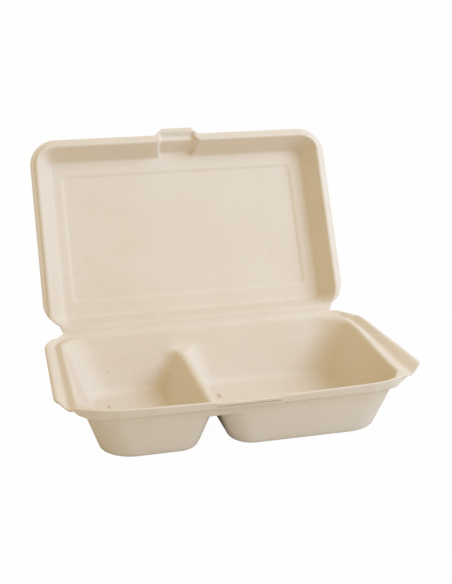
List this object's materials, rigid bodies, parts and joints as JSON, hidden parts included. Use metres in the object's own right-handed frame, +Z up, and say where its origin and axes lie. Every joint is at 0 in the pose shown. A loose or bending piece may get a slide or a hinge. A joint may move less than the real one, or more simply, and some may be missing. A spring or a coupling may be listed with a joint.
{
  "type": "bagasse clamshell box",
  "caption": "Moulded bagasse pulp clamshell box: a two-compartment tray with rounded drafted walls and a shallow lid on a pressed crease, standing open.",
  "frame": {"origin": "on the table, under the middle of the tray", "axes": "+X along the hinge to the box's right, +Y from the front to the hinge, +Z up"},
  "size_m": [0.25, 0.2328, 0.1869],
  "materials": {
    "pulp": "matte, uncoated moulded fibre"
  },
  "bodies": {
    "tray": {"base_tray": "pulp"},
    "lid": {"lid": "pulp"}
  },
  "joints": [
    {"name": "crease", "type": "hinge", "parent": "tray", "child": "lid", "pos_m": [0, 0.0804, 0.0442], "axis": [1, 0, 0], "range_deg": [-63.3, 116.7]}
  ]
}
